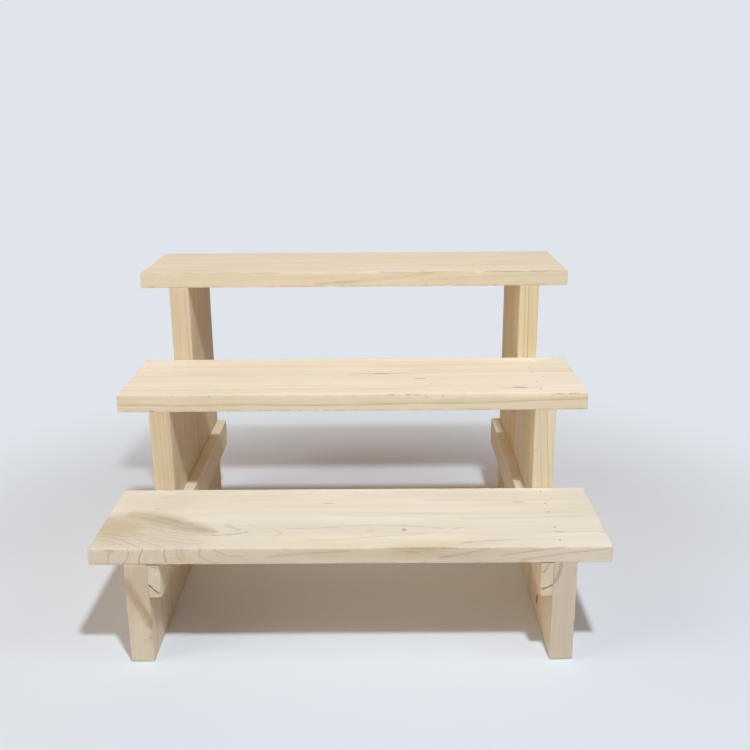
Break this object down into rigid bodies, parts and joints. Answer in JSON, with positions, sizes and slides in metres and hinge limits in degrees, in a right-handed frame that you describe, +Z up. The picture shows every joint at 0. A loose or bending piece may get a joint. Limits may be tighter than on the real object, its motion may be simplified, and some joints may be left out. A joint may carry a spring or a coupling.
{
  "type": "ladder display rack",
  "caption": "Free-standing stepped display riser of raw pine: flat step boards rising to the back, carried by upright boards tied by rails, nailed together.",
  "frame": {"origin": "on the table surface, under the centre of the rack's box", "axes": "+X to the rack's right-hand end along the steps, +Y to its back (the tallest tier), +Z up"},
  "size_m": [0.457, 0.3806, 0.307],
  "materials": {
    "step_pine": "raw planed pine, unfinished, matt",
    "post_pine": "raw sawn pine, unfinished, matt",
    "rail_pine": "raw sawn pine strip, unfinished, matt",
    "nail_steel": "bright drawn wire, heads set below the surface"
  },
  "bodies": {
    "root": {"front_step": "step_pine", "middle_step": "step_pine", "back_step": "step_pine", "left_front_post": "post_pine", "right_front_post": "post_pine", "left_middle_post": "post_pine", "right_middle_post": "post_pine", "left_back_post": "post_pine", "right_back_post": "post_pine", "left_rail": "rail_pine", "right_rail": "rail_pine", "front_step_left_nail_1": "nail_steel", "front_step_left_nail_2": "nail_steel", "front_step_left_nail_3": "nail_steel", "front_step_left_nail_4": "nail_steel", "front_step_left_nail_5": "nail_steel", "front_step_right_nail_1": "nail_steel", "front_step_right_nail_2": "nail_steel", "front_step_right_nail_3": "nail_steel", "front_step_right_nail_4": "nail_steel", "front_step_right_nail_5": "nail_steel", "middle_step_left_nail_1": "nail_steel", "middle_step_left_nail_2": "nail_steel", "middle_step_left_nail_3": "nail_steel", "middle_step_left_nail_4": "nail_steel", "middle_step_left_nail_5": "nail_steel", "middle_step_right_nail_1": "nail_steel", "middle_step_right_nail_2": "nail_steel", "middle_step_right_nail_3": "nail_steel", "middle_step_right_nail_4": "nail_steel", "middle_step_right_nail_5": "nail_steel", "back_step_left_nail_1": "nail_steel", "back_step_left_nail_2": "nail_steel", "back_step_left_nail_3": "nail_steel", "back_step_left_nail_4": "nail_steel", "back_step_left_nail_5": "nail_steel", "back_step_right_nail_1": "nail_steel", "back_step_right_nail_2": "nail_steel", "back_step_right_nail_3": "nail_steel", "back_step_right_nail_4": "nail_steel", "back_step_right_nail_5": "nail_steel", "left_rail_front_nail_1": "nail_steel", "left_rail_front_nail_2": "nail_steel", "right_rail_front_nail_1": "nail_steel", "right_rail_front_nail_2": "nail_steel", "left_rail_middle_nail_1": "nail_steel", "left_rail_middle_nail_2": "nail_steel", "right_rail_middle_nail_1": "nail_steel", "right_rail_middle_nail_2": "nail_steel", "left_rail_back_nail_1": "nail_steel", "left_rail_back_nail_2": "nail_steel", "right_rail_back_nail_1": "nail_steel", "right_rail_back_nail_2": "nail_steel"}
  },
  "joints": []
}
